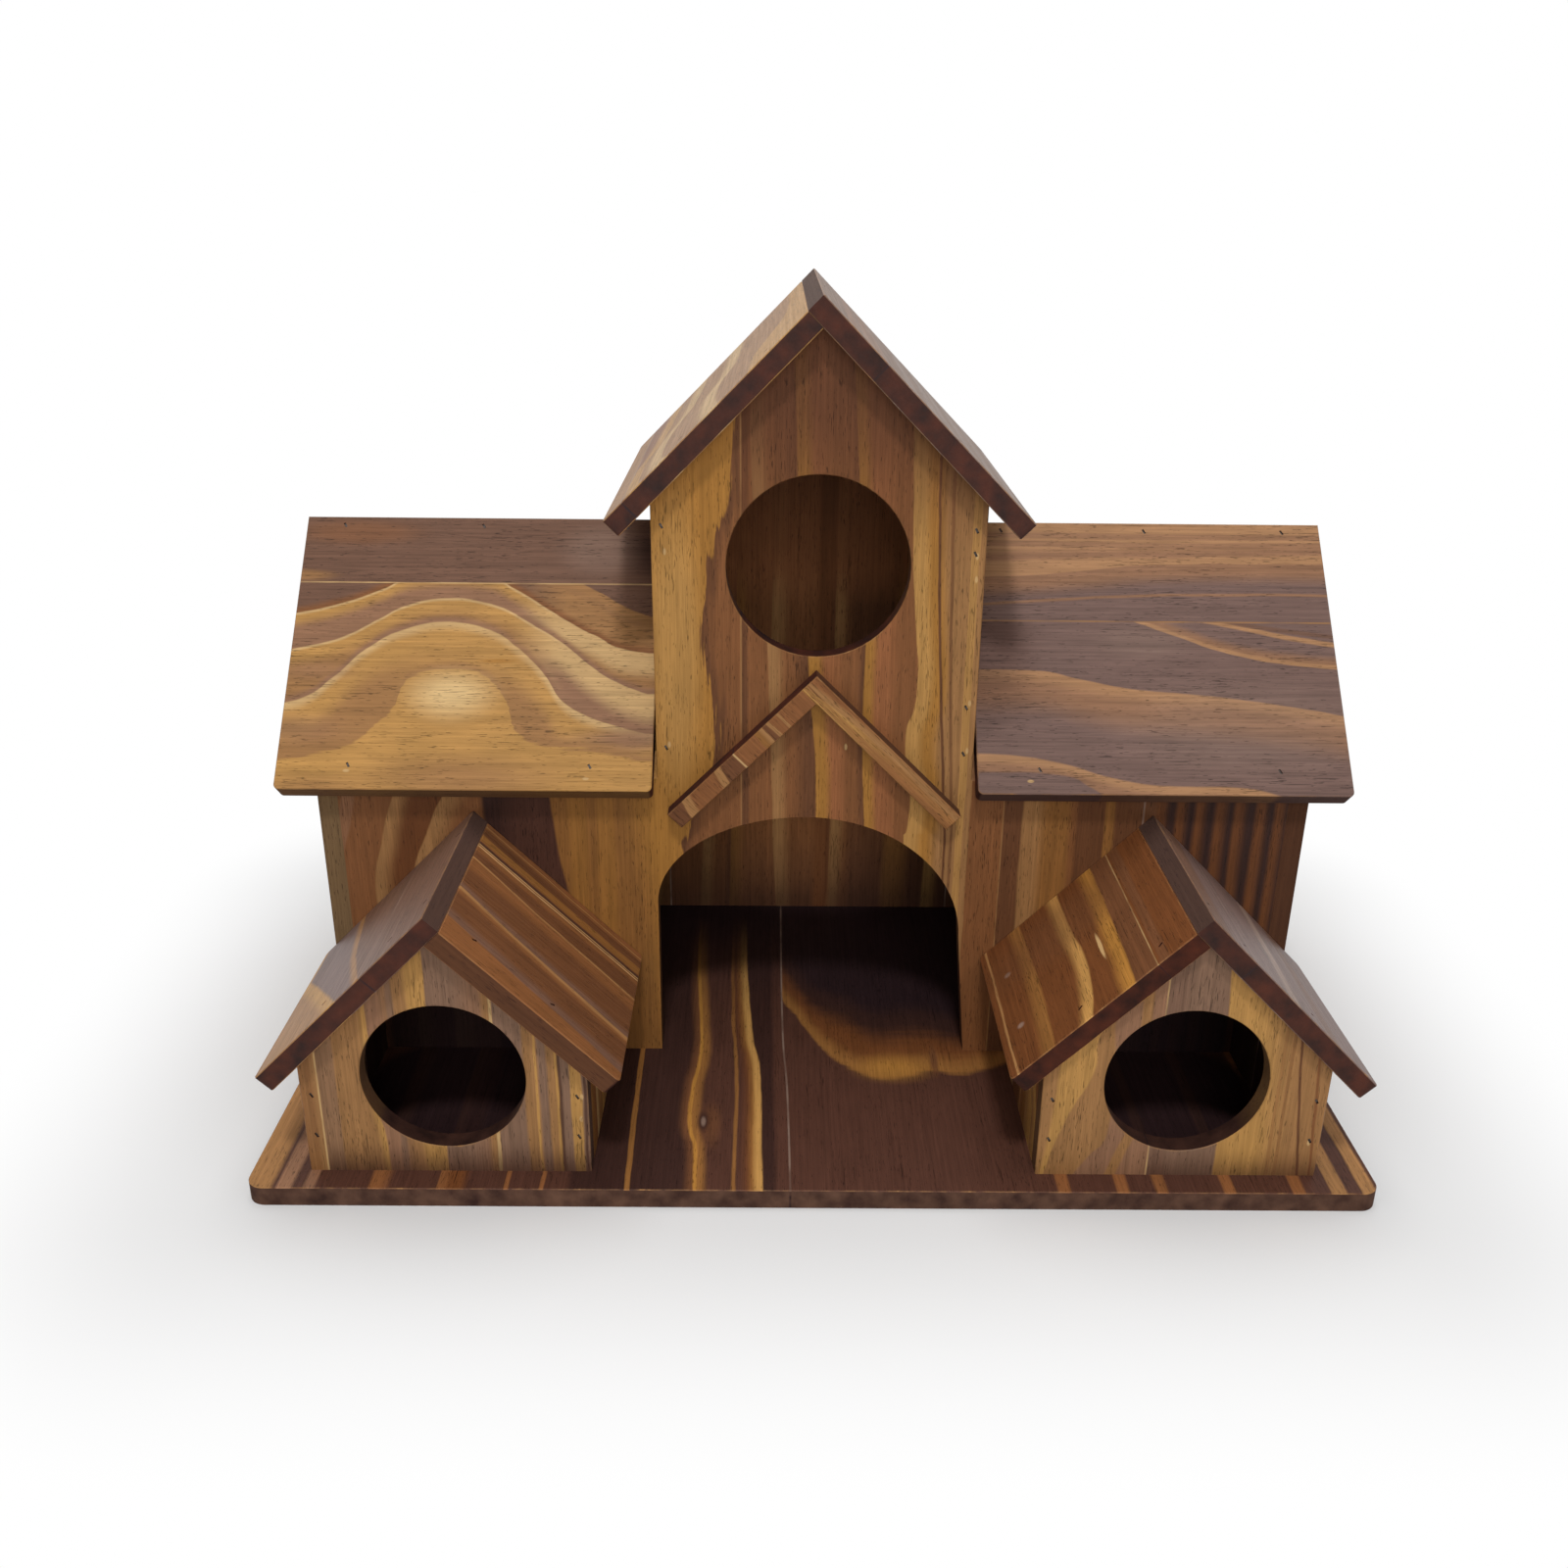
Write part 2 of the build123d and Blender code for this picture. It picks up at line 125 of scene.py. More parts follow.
class Nodes:
    """A material's node tree, with short calls for the nodes that the materials use."""

    def __init__(self, name):
        self.material = bpy.data.materials.new(name)
        self.material.use_nodes = True
        self.tree = self.material.node_tree
        self.tree.nodes.clear()

    def new(self, kind, **settings):
        node = self.tree.nodes.new(kind)
        for key, value in settings.items():
            setattr(node, key, value)
        return node

    def feed(self, socket, value):
        if isinstance(value, bpy.types.NodeSocket):
            self.tree.links.new(value, socket)
        else:
            socket.default_value = value

    def math(self, operation, *values, clamp=False):
        node = self.new("ShaderNodeMath", operation=operation, use_clamp=clamp)
        for socket, value in zip(node.inputs, values):
            self.feed(socket, value)
        return node.outputs[0]

    def times(self, first, *others):
        """The product of the values."""
        for value in others:
            first = self.math("MULTIPLY", first, value)
        return first

    def dot(self, vector, axis):
        node = self.new("ShaderNodeVectorMath", operation="DOT_PRODUCT")
        self.feed(node.inputs[0], vector)
        node.inputs[1].default_value = axis
        return node.outputs["Value"]

    def vector(self, *values):
        node = self.new("ShaderNodeCombineXYZ")
        for socket, value in zip(node.inputs, values):
            self.feed(socket, value)
        return node.outputs[0]

    def noise(self, vector, detail, roughness):
        """Noise from 0 to 1, with cells of about one unit of its vector."""
        node = self.new("ShaderNodeTexNoise")
        self.feed(node.inputs["Vector"], vector)
        node.inputs["Scale"].default_value = 1.0
        node.inputs["Detail"].default_value = detail
        node.inputs["Roughness"].default_value = roughness
        return node.outputs["Fac"]

    def swing(self, noise, reach):
        """Noise from 0 to 1 as a shift of up to reach either way."""
        return self.math("MULTIPLY_ADD", noise, 2 * reach, -reach)

    def steps(self, value, low, high, out_low=0.0, out_high=1.0, smooth=False):
        """The value mapped from low..high to out_low..out_high, and held there beyond."""
        node = self.new("ShaderNodeMapRange", interpolation_type="SMOOTHSTEP" if smooth else "LINEAR")
        for socket, number in zip(node.inputs, (value, low, high, out_low, out_high)):
            self.feed(socket, number)
        return node.outputs[0]

    def near(self, value, half, edge, smooth=False):
        """1 where the value is within half of zero, and 0 where it is beyond edge."""
        return self.steps(self.math("ABSOLUTE", value), half, edge, 1.0, 0.0, smooth=smooth)

    def mix(self, factor, first, second, blend="MIX"):
        node = self.new("ShaderNodeMix", data_type="RGBA", blend_type=blend)
        self.feed(node.inputs["Factor"], factor)
        self.feed(node.inputs[FIRST_COLOUR], first)
        self.feed(node.inputs[SECOND_COLOUR], second)
        return node.outputs[MIXED_COLOUR]

    def curve(self, value, points):
        """A smooth curve through the (x, y) points, level beyond its ends."""
        first, last = points[0][0], points[-1][0]
        low, high = min(y for x, y in points), max(y for x, y in points)
        span = max(high - low, 1.0)
        node = self.new("ShaderNodeFloatCurve")
        node.mapping.use_clip = False
        node.mapping.extend = "HORIZONTAL"
        places = [((x - first) / (last - first), (y - low) / span) for x, y in points]
        knots = node.mapping.curves[0].points
        knots[0].location, knots[1].location = places[0], places[-1]
        for place in places[1:-1]:
            knots.new(*place)
        node.mapping.update()
        scaled = self.math("MULTIPLY_ADD", value, 1 / (last - first), -first / (last - first))
        self.feed(node.inputs["Value"], scaled)
        return self.math("MULTIPLY_ADD", node.outputs[0], span, low)

    def finish(self, shader):
        """The material, with this shader on its surface."""
        output = self.new("ShaderNodeOutputMaterial")
        self.feed(output.inputs["Surface"], shader.outputs[0])
        return self.material


class Figure:
    """The figure of one board, painted tone over tone on its node tree."""

    def __init__(self, nodes, u, v, w, seed):
        self.nodes, self.u, self.v, self.w, self.seed = nodes, u, v, w, seed
        self.colour = None
        self.stave_mask = None
        self.seams = []
        slow = nodes.swing(self.grain_noise(70, 26), SLOW_DRIFT)
        quick = nodes.swing(self.grain_noise(14, 4), QUICK_DRIFT)
        self.drifted = nodes.math("ADD", v, nodes.math("ADD", slow, quick))

    def grain_noise(self, length, width, detail=2.0, roughness=0.5):
        """Noise drawn out along the grain, with cells of this length and width in mm.

        Each call reads another part of the noise.
        """
        self.seed += STEP_ALONG
        nodes = self.nodes
        place = nodes.vector(
            nodes.math("MULTIPLY_ADD", self.u, 1 / length, self.seed),
            nodes.math("MULTIPLY_ADD", self.v, 1 / width, self.seed * STEP_ACROSS / STEP_ALONG),
            nodes.math("MULTIPLY", self.w, 1 / width),
        )
        return nodes.noise(place, detail, roughness)

    def ground(self, tone):
        """Sets the tone that the figure starts from."""
        self.colour = linear(tone)

    def paint(self, mask, tone, amount=1.0):
        """Lays a tone where the mask is 1, within the stave that is being painted."""
        if self.stave_mask is not None:
            mask = self.nodes.times(mask, self.stave_mask)
        if amount != 1.0:
            mask = self.nodes.times(mask, amount)
        self.colour = self.nodes.mix(mask, self.colour, linear(tone))

    def distance(self, points, crossing=False):
        """How far a place lies beyond a line of (u, v) points; a crossing line has u follow v."""
        if crossing:
            line = self.nodes.curve(self.v, [(v, u) for u, v in points])
            return self.nodes.math("SUBTRACT", self.u, line)
        return self.nodes.math("SUBTRACT", self.drifted, self.nodes.curve(self.u, points))

    def line(self, points, *fades, crossing=False, flames=0.0, within=None):
        """Tones beyond a line: each fade is (from, to, tone), in mm past the line, torn by flames mm.

        within is a (from, to) in u over which the line sets in.
        """
        nodes = self.nodes
        past = self.distance(points, crossing)
        if flames:
            tongues = self.grain_noise(4, 26, 3.0) if crossing else self.grain_noise(26, 2.2, 3.0)
            past = nodes.math("ADD", past, nodes.swing(tongues, flames))
        for start, end, tone in fades:
            mask = nodes.steps(past, start, end, smooth=True)
            if within:
                mask = nodes.times(mask, nodes.steps(self.u, *within, smooth=True))
            self.paint(mask, tone)

    def stripe(self, points, half, tone, soft=0.6, amount=1.0):
        """A stripe along a line: half is its reach to either side, and soft the width of its edge."""
        mask = self.nodes.near(self.distance(points), half, half + soft, smooth=True)
        self.paint(mask, tone, amount)

    def stripes(self, along, tone, half, *places, soft=0.6, amount=1.0):
        """Straight stripes over the length along, a (from, to) in u, at these places in v."""
        for place in places:
            self.stripe([(along[0], place), (along[1], place)], half, tone, soft, amount)

    def spot(self, u, v, half_u, half_v, tone, amount=1.0, core=0.3):
        """An oval spot, full inside the share core of its size."""
        nodes = self.nodes
        du = nodes.math("MULTIPLY_ADD", self.u, 1 / half_u, -u / half_u)
        dv = nodes.math("MULTIPLY_ADD", self.drifted, 1 / half_v, -v / half_v)
        reach = nodes.math("SQRT", nodes.math("MULTIPLY_ADD", du, du, nodes.times(dv, dv)))
        self.paint(nodes.steps(reach, core, 1.0, 1.0, 0.0, smooth=True), tone, amount)

    def fade(self, start, end, tone, amount=1.0):
        """A tone that sets in along the grain between two places in u."""
        self.paint(self.nodes.steps(self.u, start, end, smooth=True), tone, amount)

    def chips(self, *places):
        """Torn fibres beside sunk nails: pale flakes at (u, v)."""
        for u, v in places:
            self.spot(u, v, 1.9, 0.9, "straw", 0.9, core=0.5)

    def stave(self, place, tone, glue="ash", half=0.25):
        """A glued seam at v = place, or along (u, v) points, and the ground of the stave beyond it."""
        self.stave_mask = None
        if isinstance(place, list):
            place = self.nodes.curve(self.u, place)
        self.seams.append((self.nodes.math("SUBTRACT", self.v, place), glue, half))
        beyond = self.nodes.math("GREATER_THAN", self.v, place)
        self.paint(beyond, tone)
        self.stave_mask = beyond

    def all_staves(self):
        """What is painted next reaches over every stave."""
        self.stave_mask = None

    def rings(self, rng, low, high, along):
        """Growth rings at random: each starts pale at its line and darkens to the next."""
        knots = 4
        lean = [rng.uniform(-5, 5) for _ in range(knots)]
        place = low
        while place < high:
            width = rng.uniform(6, 15)
            pale, dark = rng.choice(RING_TONES)
            points = []
            for knot, shift in enumerate(lean):
                u = along[0] + (along[1] - along[0]) * knot / (knots - 1)
                points.append((u, place + shift * rng.uniform(0.7, 1.0)))
            self.line(points, (-0.4, 0.5, pale), (0.25 * width, 0.9 * width, dark))
            place += width


def grain(figure):
    """Streaks, fibres, pores and cracks of the wood: how they shade it, their relief, and the streaks."""
    nodes = figure.nodes
    streaks = figure.grain_noise(80, 1.5, 4.0, 0.65)
    fibres = figure.grain_noise(16, 0.32)
    mottle = figure.grain_noise(22, 8, 3.0)
    # Pores and cracks open where their own noise is high, and sooner where they crowd together
    crowding = nodes.steps(figure.grain_noise(50, 16), 0.3, 0.7, 0.08, -0.02)
    pores = nodes.steps(nodes.math("ADD", figure.grain_noise(4.5, 0.45, 1.0), crowding), 0.69, 0.74)
    cracks = nodes.steps(nodes.math("ADD", figure.grain_noise(17, 0.55, 1.0), crowding), 0.735, 0.78)
    hollows = nodes.math("MAXIMUM", pores, cracks)
    shade = nodes.times(
        nodes.steps(streaks, 0.25, 0.75, 0.75, 1.2),
        nodes.steps(fibres, 0.25, 0.75, 0.86, 1.11),
        nodes.steps(mottle, 0.25, 0.75, 0.9, 1.08),
        nodes.math("MULTIPLY_ADD", hollows, -0.55, 1.0),
    )
    relief = nodes.math("MULTIPLY_ADD", streaks, 0.8, nodes.math("MULTIPLY_ADD", hollows, -0.8, fibres))
    return shade, relief, streaks


def edge_tones(figure, colour, normal, along, through, burnt):
    """The colour with its sawn edges, and a mask of them.

    End grain is burnt, between two tones. Long grain is browned, and the arrises are pale: partly
    worn, and partly a painted highlight.
    """
    nodes = figure.nodes
    # The normal's share along the grain tells end grain, and its share through the board tells a face
    burn = nodes.steps(figure.grain_noise(12, 9, 3.0), 0.28, 0.8)
    end_grain = nodes.mix(burn, linear(burnt[0]), linear(burnt[1]))
    long_grain = nodes.mix(0.72, colour, linear("char"))
    ends = nodes.steps(nodes.math("ABSOLUTE", nodes.dot(normal, along)), 0.3, 0.7)
    facing = nodes.math("ABSOLUTE", nodes.dot(normal, through))
    rim = nodes.steps(facing, 0.3, 0.6, 1.0, 0.0)
    colour = nodes.mix(rim, colour, nodes.mix(ends, long_grain, end_grain))

    # Pale arrises: wear, and a painted highlight along the edges
    arris = nodes.times(nodes.steps(facing, 0.62, 0.66), nodes.steps(facing, 0.76, 0.8, 1.0, 0.0))
    wear = figure.grain_noise(7, 5)
    rubbed = nodes.steps(wear, 0.42, 0.62, 0.05, 0.45)
    bare = nodes.steps(wear, 0.66, 0.7, 0.0, 0.5)
    worn_and_highlit = nodes.times(arris, nodes.math("ADD", rubbed, bare))
    return nodes.mix(worn_and_highlit, colour, linear("tan")), rim


def glue_lines(figure, colour, rim):
    """The colour with broken lines of glue along the seams, black where they cross the rim."""
    nodes = figure.nodes
    for past, tone, half in figure.seams:
        broken = nodes.steps(figure.grain_noise(18, 4), 0.35, 0.6, 0.25, 0.9)
        mask = nodes.times(nodes.near(past, half, half + 0.35), broken)
        colour = nodes.mix(mask, colour, nodes.mix(rim, linear(tone), linear("black")))
    return colour


def wood(name, start, along, across, paint, seed, inside=0, soot_and_shade=0.5, gain=1.0, gloss=0.12,
         burnt=("coal", "ember")):
    """Scorched and varnished pine: paint draws its figure, from start and in two directions.

    inside is the side, in w, that faces a room, where painted shade darkens the wood. gain brightens
    the wood, gloss is the varnish's, and burnt holds the two tones of the end grain.
    """
    nodes = Nodes(name)
    coords = nodes.new("ShaderNodeTexCoord")
    normal = coords.outputs["Normal"]
    place = nodes.new("ShaderNodeVectorMath", operation="SUBTRACT")
    nodes.feed(place.inputs[0], coords.outputs["Object"])
    place.inputs[1].default_value = start
    through = along.cross(across)
    u, v, w = (nodes.dot(place.outputs[0], axis / MM) for axis in (along, across, through))
    figure = Figure(nodes, u, v, w, seed)
    paint(figure)

    shade, relief, streaks = grain(figure)
    shade = nodes.times(shade, gain)
    colour = nodes.mix(1.0, figure.colour, nodes.vector(shade, shade, shade), "MULTIPLY")
    # Painted shade on the side that faces a room
    if inside:
        indoors = nodes.steps(nodes.dot(normal, inside * through), 0.5, 0.6)
        colour = nodes.mix(nodes.times(indoors, soot_and_shade), colour, linear("black"))
    colour, rim = edge_tones(figure, colour, normal, along, through, burnt)
    colour = glue_lines(figure, colour, rim)

    shader = nodes.new("ShaderNodeBsdfPrincipled")
    nodes.feed(shader.inputs["Base Color"], colour)
    polish = nodes.steps(streaks, 0.3, 0.7, 0.56, 0.46)
    nodes.feed(shader.inputs["Roughness"], nodes.math("MULTIPLY_ADD", rim, 0.4, polish, clamp=True))
    shader.inputs["Specular IOR Level"].default_value = gloss
    bump = nodes.new("ShaderNodeBump")
    bump.inputs["Strength"].default_value = 0.35
    bump.inputs["Distance"].default_value = 0.25 * MM
    nodes.feed(bump.inputs["Height"], relief)
    nodes.feed(shader.inputs["Normal"], bump.outputs[0])
    return nodes.finish(shader)


# Figures of the boards that the photograph shows, from the board's start and in its two directions

def left_wing_front(f):
    """Cathedral rings round a pale oval; u is x and v runs down from the ridge."""
    outermost = [(-242, -60), (-150, 10), (-112, 33), (-100, 39), (-90, 45), (-76, 51)]
    outer = [(-242, 51.6), (-220, 46), (-200, 37.6), (-185, 31), (-155, 31), (-140, 37.6),
             (-120, 50.4), (-100, 61.6), (-88, 68), (-76, 70)]
    middle_ring = [(-242, 70), (-220, 64), (-200, 53), (-190, 47), (-170, 42.6), (-152, 45),
                   (-130, 56), (-118, 63.5), (-100, 78.4), (-90, 85), (-76, 90.6)]
    inner = [(-242, 96), (-232, 93.5), (-220, 84), (-205, 68), (-190, 59), (-170, 54.8), (-152, 58),
             (-136, 68), (-124, 80), (-112, 96), (-100, 102.5), (-76, 110)]
    oval = [(-242, 125), (-220, 119.5), (-208, 115), (-198, 106), (-190, 97), (-188, 89), (-183, 82.5),
            (-168, 78.4), (-154, 80.5), (-145, 87), (-139, 96), (-134, 109), (-122, 115.5),
            (-100, 118), (-76, 123)]
    pale_side = (-142, -112)
    f.ground("plum")
    f.spot(-240, 31, 22, 4, "tan", 0.8)
    # Painted sheen: a faint grey veil near the tower
    f.spot(-100, 17, 26, 18, "ash", 0.3)
    # Painted shadow of the tower roof's eave, beside the tower
    f.spot(-74, 18, 20, 24, "char", 0.8, core=0.1)
    f.spot(-215, 8, 40, 9, "brown", 0.5)
    f.stave(34.6, "plum", "straw", 0.15)
    f.line(outermost, (-0.5, 0.5, "tan"), (3, 9, "plum"))
    f.line(outermost, (0.5, 9, "tan"), within=pale_side)
    f.line(outer, (-5, -0.5, "brown"), (-0.5, 0.3, "straw"), (0.5, 1.6, "honey"), (2, 9, "hazel"))
    f.line(outer, (-0.5, 1.2, "straw"), (7, 15, "tan"), within=pale_side)
    f.line(middle_ring, (-5, -0.5, "hazel"), (-0.5, 0.3, "straw"), (0.5, 1.6, "honey"), (3, 12, "tan"))
    f.line(middle_ring, (-0.5, 1.2, "straw"), (7, 18, "hazel"), within=pale_side)
    f.line(inner, (-5, -0.5, "hazel"), (-0.5, 0.4, "straw"), (0.8, 6, "honey"), (9, 24, "tan"))
    f.spot(-162, 76, 46, 24, "honey", 0.7, core=0)
    f.spot(-84, 113, 36, 9, "hazel", 0.9, core=0.1)
    f.line(oval, (-6, -0.6, "tan"), (-0.8, 0.8, "honey"), flames=3)
    f.spot(-165, 91, 27, 17, "cream", 0.8, core=0.1)
    f.spot(-158, 132, 60, 17, "tan", 0.9, core=0.1)
    f.spot(-225, 138, 40, 11, "tan", 0.7, core=0.1)
    f.spot(-228, 80, 30, 8, "hazel", 0.5, core=0)
    f.spot(-236, 108, 34, 11, "hazel", 0.6, core=0)
    f.spot(-145, 74, 12, 1.6, "gold", 0.8)
    f.chips((-208.5, 128.5), (-102, 131), (-225, 6.5))


def right_wing_front(f):
    """Long dark figure with a few pale lines, in the left one's directions."""
    f.ground("fawn")
    f.stripes((72, 242), "hazel", 0.8, 7, 11.5, soft=1.5, amount=0.8)
    f.line([(72, 20), (110, 18), (242, 15)], (-6, 0, "hazel"), (0, 3, "fawn"))
    f.line([(72, 29), (96, 28), (110, 27), (130, 25), (165, 21.5), (242, 21)],
           (-0.2, 0.6, "hazel"), (4, 13, "mauve"))
    f.line([(72, 44), (90, 43), (110, 41.4), (150, 39), (242, 38)],
           (-1.6, -0.6, "hazel"), (-0.5, 0.8, "mauve"))
    f.stave(51.8, "mauve", "tan", 0.15)
    f.line([(125, 44), (140, 47.5), (150, 51.5), (160, 55.5), (170, 59.5), (182, 64.5), (200, 69.5),
            (220, 72.5), (242, 74.5)], (-7, -2, "hazel"), (-2, -0.6, "fawn"), (0.4, 1.0, "mauve"))
    f.stripe([(176, 50), (190, 53), (205, 56.5), (225, 60.5), (242, 63)], 0.6, "fawn", 1.2)
    f.stripe([(176, 47), (190, 51.5), (242, 59)], 0.4, "plum", 1.2, 0.8)
    f.line([(72, 77), (100, 77), (120, 81), (140, 85), (170, 88), (190, 90), (210, 93), (242, 99)],
           (-0.4, 0.4, "fawn"), (1, 9, "hazel"), (10, 26, "mauve"))
    f.line([(72, 118), (90, 119), (110, 122), (130, 128), (150, 132), (190, 133.4), (208, 137.5),
            (242, 146)], (-0.4, 0.8, "fawn"), (2, 6, "hazel"))
    f.line([(72, 127), (110, 128), (122, 133), (130, 138.5), (150, 150), (242, 160)], (-0.5, 0.8, "mauve"))
    # Painted sheen: faint grey veils over the plate
    f.spot(195, 105, 75, 30, "ash", 0.22)
    f.spot(150, 62, 30, 12, "ash", 0.2)
    # Painted shadow of the tower roof's eave, beside the tower
    f.spot(78, 60, 30, 60, "dusk", 0.5)
    f.chips((160, 5), (96, 131))


def front_wall(f):
    """Upright figure of the wide wall and the tower; u is z and v is x."""
    f.ground("brown")
    f.stripe([(60, -217), (100, -220), (130, -214), (165, -206)], 2.2, "hazel", 1.5, 0.5)
    f.line([(40, -190), (90, -203), (120, -198), (150, -188)], (-0.5, 0.5, "tan"), (2, 10, "rust"))
    f.line([(40, -172), (90, -186), (125, -177), (150, -162)], (-0.5, 0.5, "tan"), (3, 14, "brown"))
    f.line([(0, -150), (150, -151)], (-1.5, 1.5, "char"), (2, 20, "dusk"))
    f.line([(0, -104), (60, -110), (90, -113), (120, -118), (165, -122)], (-0.8, 0.8, "ochre"),
           (30, 48, "gold"))
    f.stripes((0, 350), "gold", 2.5, -108, -95, soft=3, amount=0.4)
    f.spot(215, -62, 90, 16, "honey", 0.9)
    f.line([(120, -60), (140, -53), (150, -50), (170, -44), (182, -44), (200, -48), (215, -50.3),
            (230, -50), (245, -47.5), (260, -44), (270, -40), (285, -36), (305, -35), (350, -33)],
           (-0.6, 0.6, "umber"), (1, 7, "brown"), flames=6)
    f.stave(-33, "umber", "tan", 0.15)
    f.line([(0, -29.5), (350, -30)], (-0.6, 0.6, "brown"))
    f.line([(125, -18.5), (150, -19.5), (165, -20), (205, -21), (230, -22.5), (290, -28.3), (350, -29)],
           (-0.4, 0.5, "tan"), (2.5, 8, "brown"), (8, 17, "umber"))
    f.line([(125, 0.8), (150, 0.4), (165, -0.2), (205, -3.7), (290, -9), (320, -10.2), (350, -12)],
           (-0.4, 0.4, "gold"), (3.5, 8, "cedar"), (8, 16, "brown"))
    f.line([(125, 23.5), (190, 20.8), (215, 20.8), (290, 16.2), (350, 12.5)],
           (-4, -0.4, "umber"), (-0.4, 0.4, "gold"), (2.2, 6.5, "cedar"), (8, 17, "brown"))
    f.line([(125, 41.3), (140, 43.6), (155, 42.6), (170, 40.4), (185, 43.2), (200, 44.4), (215, 43.4),
            (232, 42), (250, 40.6), (280, 39), (350, 36.6)],
           (-0.4, 0.4, "honey"), (4, 9, "gold"), (10, 16, "tan"))
    f.stripe([(125, 60), (200, 54.5), (290, 50)], 0.25, "umber", 0.7)
    f.stripe([(125, 63), (200, 59), (290, 56)], 0.3, "umber", 0.8, 0.7)
    f.stripe([(120, 66.6), (300, 66.9)], 1.5, "honey", 0.4, 0.7)
    # Painted shade: the top of the tower's front darkens under its roof
    f.fade(240, 320, "rust", 0.8)
    f.fade(262, 325, "dusk", 0.4)
    f.line([(0, 71.2), (350, 71.2)], (-0.4, 0.4, "brown"))
    f.line([(0, 78.5), (160, 78)], (-0.6, 0.8, "brown"))
    f.stave(86.5, "umber", "tan", 0.15)
    f.line([(0, 96), (160, 95)], (-0.8, 0.8, "tan"), (6, 12, "ochre"))
    f.line([(0, 110), (160, 109)], (-0.8, 0.8, "ochre"), (6, 10, "brown"))
    f.line([(0, 121), (160, 120)], (-1, 1, "umber"))
    f.line([(0, 134), (160, 133)], (-0.5, 0.5, "ochre"), (3.5, 5.5, "umber"))
    # Behind the right hut: real stripes, in tones darkened as painted shade under the wing
    f.stave(150.5, "umber")
    for place in (157, 166, 175, 184.5, 193, 202.5, 211):
        f.line([(0, place), (165, place - 1)], (-1.5, 1.2, "rust"), (1.5, 7, "char"))
    f.all_staves()
    # Painted shade: the wall inside the huts goes nearly black
    for place in hut_places:
        f.spot(15, place, 95, 58, "black", 0.95, core=0.8)
    f.chips((168, 13.5), (168.5, -65.3), (256, -65.4), (245, 67.8), (255, 67.6), (189, 67.9), (166.5, 67.8))


def base(f):
    """Boards of the base, front to back: u is y and v is x."""
    front_to_back = (-142, 142)
    f.ground("dusk")
    f.stripes(front_to_back, "tan", 5, -235, soft=3)
    f.stripes(front_to_back, "hazel", 2.2, -223, soft=2)
    f.stripes(front_to_back, "hazel", 1.4, -213, soft=2, amount=0.7)
    f.line([(-142, -188), (142, -189)], (-1, 1, "brown"), (4, 10, "dusk"))
    f.line([(-142, -159.5), (142, -161)], (-0.5, 0.5, "brown"), (1, 6, "rust"), (9, 14, "dusk"))
    f.stripes(front_to_back, "brown", 0.5, -130, -115, soft=0.8)
    f.line([(-142, -104), (142, -106)], (-1, 1, "char"))
    f.stripe([(-142, -79), (-60, -81), (142, -83)], 0.8, "ochre", 0.6)
    f.line([(-142, -50.3), (-110, -52.3), (-90, -55.3), (-65, -54.8), (-35, -52.6), (-10, -53.6),
            (10, -55.3), (60, -58.3), (142, -60.3)],
           (-6, -1, "umber"), (-1.4, -0.4, "gold"), (0.4, 1.2, "ochre"), (2, 6, "dusk"))
    f.spot(-95, -46, 22, 7, "umber", 0.6)
    f.stripe([(-142, -34), (-60, -35), (0, -38), (142, -42)], 0.4, "ochre", 0.9, 0.8)
    f.line([(-142, -21.5), (-107, -22.5), (-70, -23), (-45, -24.5), (-20, -28), (40, -31.5), (142, -34.5)],
           (-11, -3, "rust"), (-7, -3, "ochre"), (-4.6, -2, "honey"), (-0.6, 0.5, "char"))
    f.line([(-142, -17), (142, -20)], (-1, 2, "dusk"))
    f.spot(-92, -49.5, 11, 3.4, "char", 0.9)
    f.spot(-92, -49.5, 5, 1.4, "ash", 0.6)
    f.stave([(-142, -10), (-70, -11), (-20, -13), (40, -13.7), (142, -14)], "dusk", "ash", 0.25)
    f.line([(50, -16), (8, -12), (-2, -7), (-20, 0), (-40, 10), (-55, 25), (-59, 35), (-57, 47), (-52, 57),
            (-55, 70), (-50, 85), (-43, 100), (-40, 142)],
           (-1, 4, "ochre"), (5, 22, "rust"), crossing=True, flames=3)
    f.spot(-48, 40, 16, 26, "gold", 0.9, core=0)
    # The crescent's dark inner edge, then painted shade on the floor inside the house beyond it
    f.line([(60, -16), (30, -6), (5, 6), (-6, 20), (-18, 35), (-15, 55), (-22, 75), (-25, 142)],
           (-16, 8, "char"), (8, 30, "black"), crossing=True, flames=6)
    f.spot(-42, 60, 17, 2.8, "umber", 0.9)
    f.line([(-142, 128), (142, 126)], (-1, 1, "dusk"))
    f.stripes(front_to_back, "brown", 1.8, 106, 131, 147, 176, 205, soft=1.5)
    f.stripes(front_to_back, "tan", 2.4, 222, 235, soft=1.5)
    f.all_staves()
    nodes = f.nodes
    # Painted shade on the floor of the room, deepening towards the back wall
    beside = nodes.near(f.v, room_half, room_half + 8)
    before = nodes.steps(f.u, back_inner + 2, back_outer, 1.0, 0.0)
    shadow = nodes.steps(f.u, -10, 110, smooth=True)
    f.paint(nodes.times(beside, before, shadow), "black")
    # Painted shade on the base inside the huts
    for place in hut_places:
        f.spot(-72, place, 56, 60, "black", 0.92, core=0.85)


